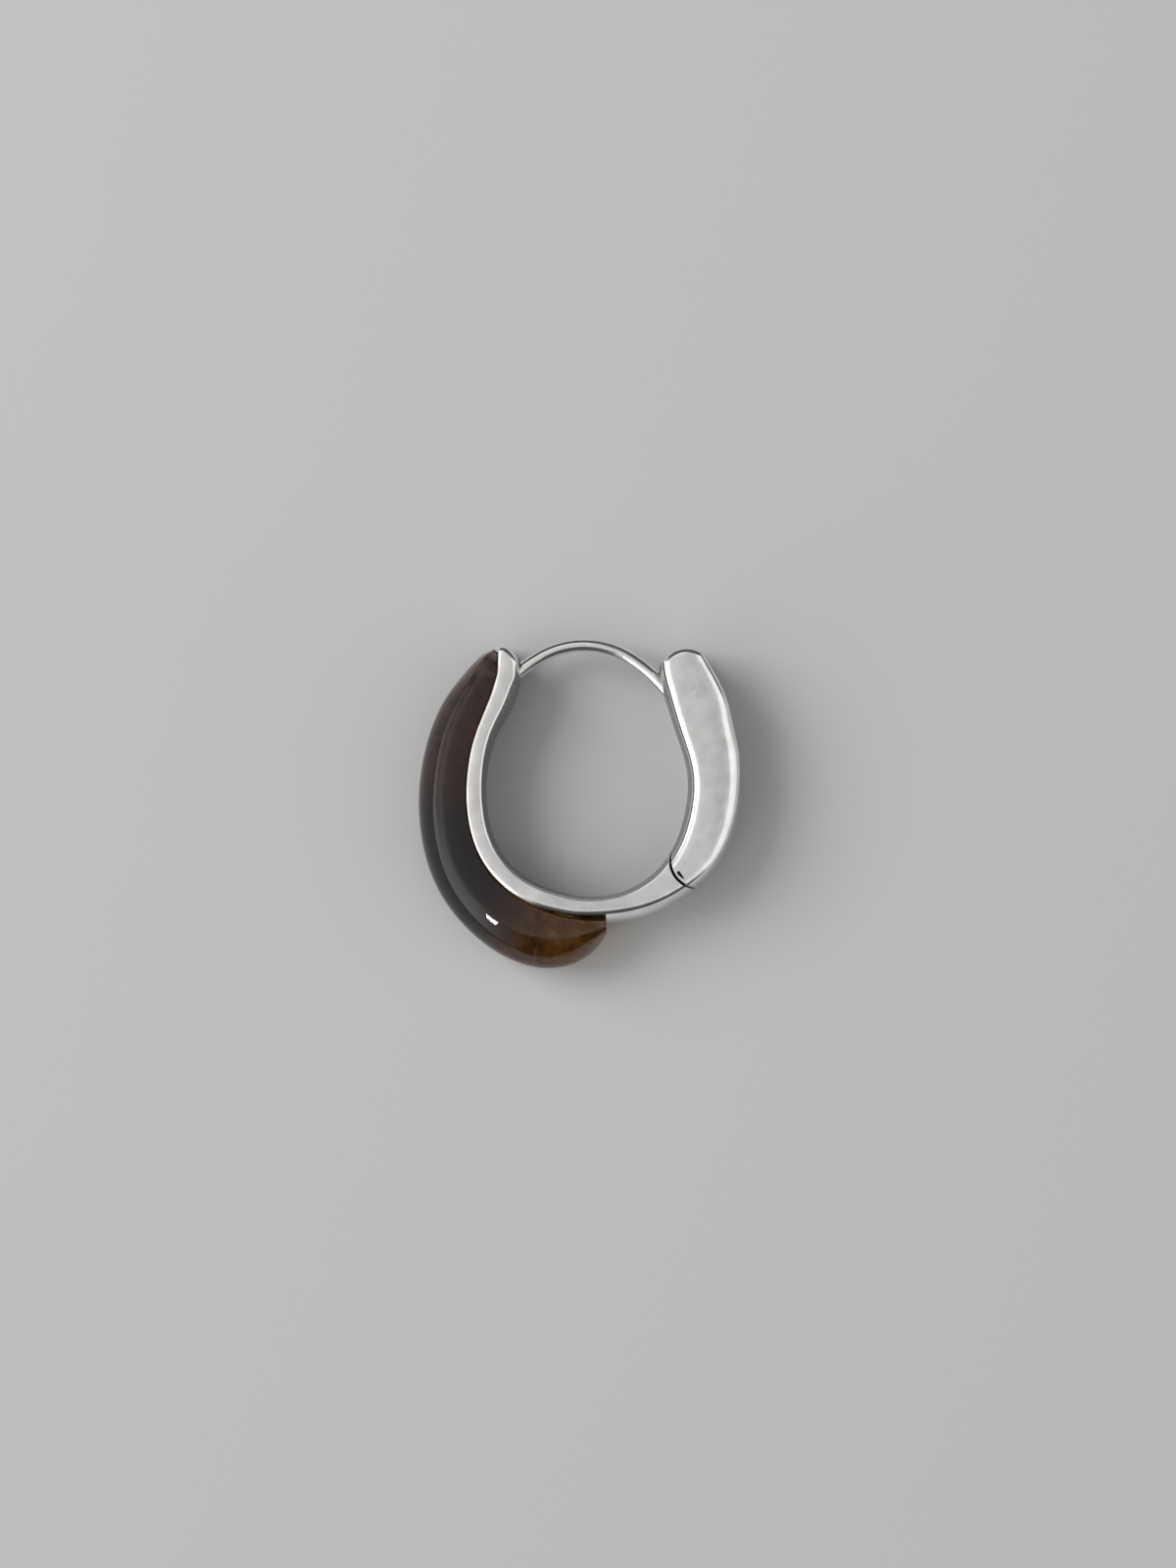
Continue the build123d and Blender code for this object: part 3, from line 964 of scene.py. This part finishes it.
def make_arm():
    arm = metal_loft("arm", "a", arm_edge)
    combine(arm, end_tool(arm_end), "INTERSECT")
    kept = join(arm_side(far), round_tool(knuckle_radius, -far, far))
    # The faces cut by the dark tools below get painted shade
    combine(arm, with_painted_shade(kept), "INTERSECT")
    cut(arm, with_painted_shade(slot_tool()))
    cut(arm, with_painted_shade(pin_tool(pin_fit_gap)))
    cut(arm, with_painted_shade(pit_tool()))
    join(arm, ear_wire())
    polish(arm)
    return arm


rail = make_rail()
stone = make_stone()
arm = make_arm()
pin = frame["nodes"]["hinge_pin"]
pin.data.materials.clear()
pin.data.materials.append(polished_silver)

for piece, body, node, slot in (
    (rail, "hoop", "fixed_hoop", "silver"),
    (stone, "hoop", "stone", "brown_stone"),
    (arm, "arm", "hinged_arm", "silver"),
):
    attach(piece, body)
    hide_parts(node)


# Floor
floor_radius = 900
floor_points = 96
floor_colour = (0.42, 0.42, 0.42, 1)


def make_floor():
    outline = circle(floor_radius, floor_points)
    points = np.column_stack([outline, np.zeros(floor_points)])
    floor = make_mesh("floor", points, [tuple(range(floor_points))])
    material, tree, surface = new_material("pale_paper")
    surface.inputs["Base Color"].default_value = floor_colour
    surface.inputs["Roughness"].default_value = 0.9
    floor.data.materials.append(material)


make_floor()


# Camera: straight above, with the photograph's scale
photo_width, photo_height = 1200, 1600
pixels_per_mm = 16.8
centre_px = (592.0, 820.0)
camera_height = 150.0
sensor_width = 36


def make_camera():
    camera = bpy.data.cameras.new("camera")
    holder = bpy.data.objects.new("camera", camera)
    bpy.context.scene.collection.objects.link(holder)
    x = (photo_width / 2 - centre_px[0]) / pixels_per_mm
    y = (centre_px[1] - photo_height / 2) / pixels_per_mm
    holder.location = Vector((x, y, camera_height + middle)) * MM
    camera.sensor_width = sensor_width
    camera.lens = sensor_width * camera_height / (photo_height / pixels_per_mm)
    camera.clip_start = 0.001
    camera.clip_end = 10
    bpy.context.scene.camera = holder


make_camera()


# Light
# The studio around the earring, as rings from straight above down to the horizon.
# begins, ends: angle from straight above over which the ring takes over, as a share of 90 degrees
# levels: pairs of a direction and half the brightness there. The direction is a share of a whole
# turn: 0 is the left, 0.25 the front, 0.5 the right, 0.75 the back, and 1 the left again.
Ring = namedtuple("Ring", "begins ends levels")
overhead_level = 0.28
studio = (
    Ring(0.02, 0.10, ((0.0, 0.36), (0.25, 0.28), (0.5, 0.22), (0.75, 0.28), (1.0, 0.36))),
    Ring(0.11, 0.17, (
        (0.0, 0.58), (0.12, 0.50), (0.20, 0.32), (0.30, 0.32), (0.40, 0.48), (0.60, 0.50),
        (0.66, 0.30), (0.72, 0.34), (0.82, 0.38), (0.92, 0.52), (1.0, 0.58),
    )),
    Ring(0.26, 0.34, (
        (0.0, 0.55), (0.06, 0.75), (0.12, 0.75), (0.17, 0.25), (0.21, 0.06), (0.32, 0.05),
        (0.38, 0.46), (0.59, 0.50), (0.64, 0.07), (0.70, 0.08), (0.76, 0.36), (0.90, 0.45),
        (1.0, 0.55),
    )),
    Ring(0.46, 0.54, (
        (0.0, 0.50), (0.06, 0.80), (0.12, 0.80), (0.17, 0.25), (0.21, 0.05), (0.34, 0.04),
        (0.39, 0.46), (0.56, 0.48), (0.62, 0.05), (0.86, 0.05), (0.93, 0.40), (1.0, 0.50),
    )),
    Ring(0.66, 0.74, (
        (0.0, 0.85), (0.12, 0.85), (0.17, 0.25), (0.20, 0.04), (0.36, 0.03), (0.40, 0.42),
        (0.52, 0.42), (0.57, 0.04), (0.87, 0.04), (0.93, 0.60), (1.0, 0.85),
    )),
    Ring(0.94, 1.00, ((0.0, 0.06), (1.0, 0.06))),
)
studio_strength = 2.0
backdrop_level = 0.30

# Lamps, in metres and watts, both aimed at the earring
key_place = (-0.50, 0.22, 0.45)
key_size = (0.45, 0.45)
key_power = 4.5
window_azimuth = 233
window_height = 41
window_distance = 0.6
window_size = (0.045, 0.21)
window_power = 0.95


def make_world():
    world = bpy.data.worlds.new("studio")
    bpy.context.scene.world = world
    world.use_nodes = True
    tree = world.node_tree
    split = add_node(tree, "SeparateXYZ")
    tree.links.new(add_node(tree, "TexCoord").outputs["Generated"], split.inputs[0])
    across, along, up = split.outputs
    tilt = calculate(tree, "DIVIDE", calculate(tree, "ARCCOSINE", up), pi / 2)
    angle = calculate(tree, "ARCTAN2", along, across)
    direction = calculate(tree, "MULTIPLY_ADD", angle, 1 / (2 * pi), 0.5)
    level = (overhead_level,) * 3
    for ring in studio:
        share = ramp(tree, tilt, ((ring.begins, 0), (ring.ends, 1)))
        level = blend_colours(tree, share, level, ramp(tree, direction, ring.levels))
    seen = add_node(tree, "LightPath").outputs["Is Camera Ray"]
    background = tree.nodes["Background"]
    shown = blend_colours(tree, seen, level, (backdrop_level,) * 3)
    feed(tree, background.inputs["Color"], shown)
    background.inputs["Strength"].default_value = studio_strength


def area_light(name, place, size, power):
    light = bpy.data.lights.new(name, "AREA")
    light.shape = "RECTANGLE"
    light.size, light.size_y = size
    light.energy = power
    holder = bpy.data.objects.new(name, light)
    bpy.context.scene.collection.objects.link(holder)
    holder.location = place
    holder.rotation_euler = (-Vector(place)).to_track_quat("-Z", "Y").to_euler()
    return holder


def make_lights():
    """A broad soft light that the metal doesn't mirror, and a small window that shows only in it."""
    key = area_light("key", key_place, key_size, key_power)
    key.visible_glossy = False
    azimuth, height = radians(window_azimuth), radians(window_height)
    way = Vector((cos(azimuth) * cos(height), sin(azimuth) * cos(height), sin(height)))
    window = area_light("window", way * window_distance, window_size, window_power)
    window.visible_diffuse = False
    window.visible_transmission = False


make_world()
make_lights()
bpy.context.scene.view_settings.view_transform = "Standard"
